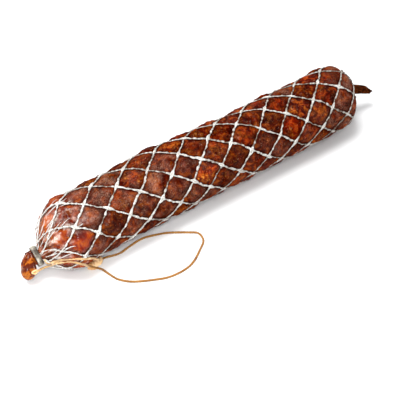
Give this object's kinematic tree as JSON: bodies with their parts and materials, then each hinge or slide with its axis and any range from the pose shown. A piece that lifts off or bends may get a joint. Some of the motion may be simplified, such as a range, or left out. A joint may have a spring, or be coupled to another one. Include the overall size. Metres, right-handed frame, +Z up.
{
  "type": "cured sausage",
  "caption": "Dry-cured sausage in a pleated casing under a stretched diamond net, closed by a metal clip at one end, with a knotted string loop beside it.",
  "frame": {"origin": "centre of the sausage's footprint on the ground, without its string", "axes": "+X along the sausage from the clipped end to the dried tail, +Z up, the string's loop lies at -Y"},
  "size_m": [0.3978, 0.1068, 0.0637],
  "materials": {
    "casing": "satin, partly glossy",
    "net": "matt",
    "clip": "worn satin",
    "string": "matt"
  },
  "bodies": {
    "root": {"sausage": "casing", "net": "net", "clip": "clip", "string_lead_upper": "string", "string_lead_lower": "string", "string_loop": "string", "string_knot": "string"}
  },
  "joints": []
}
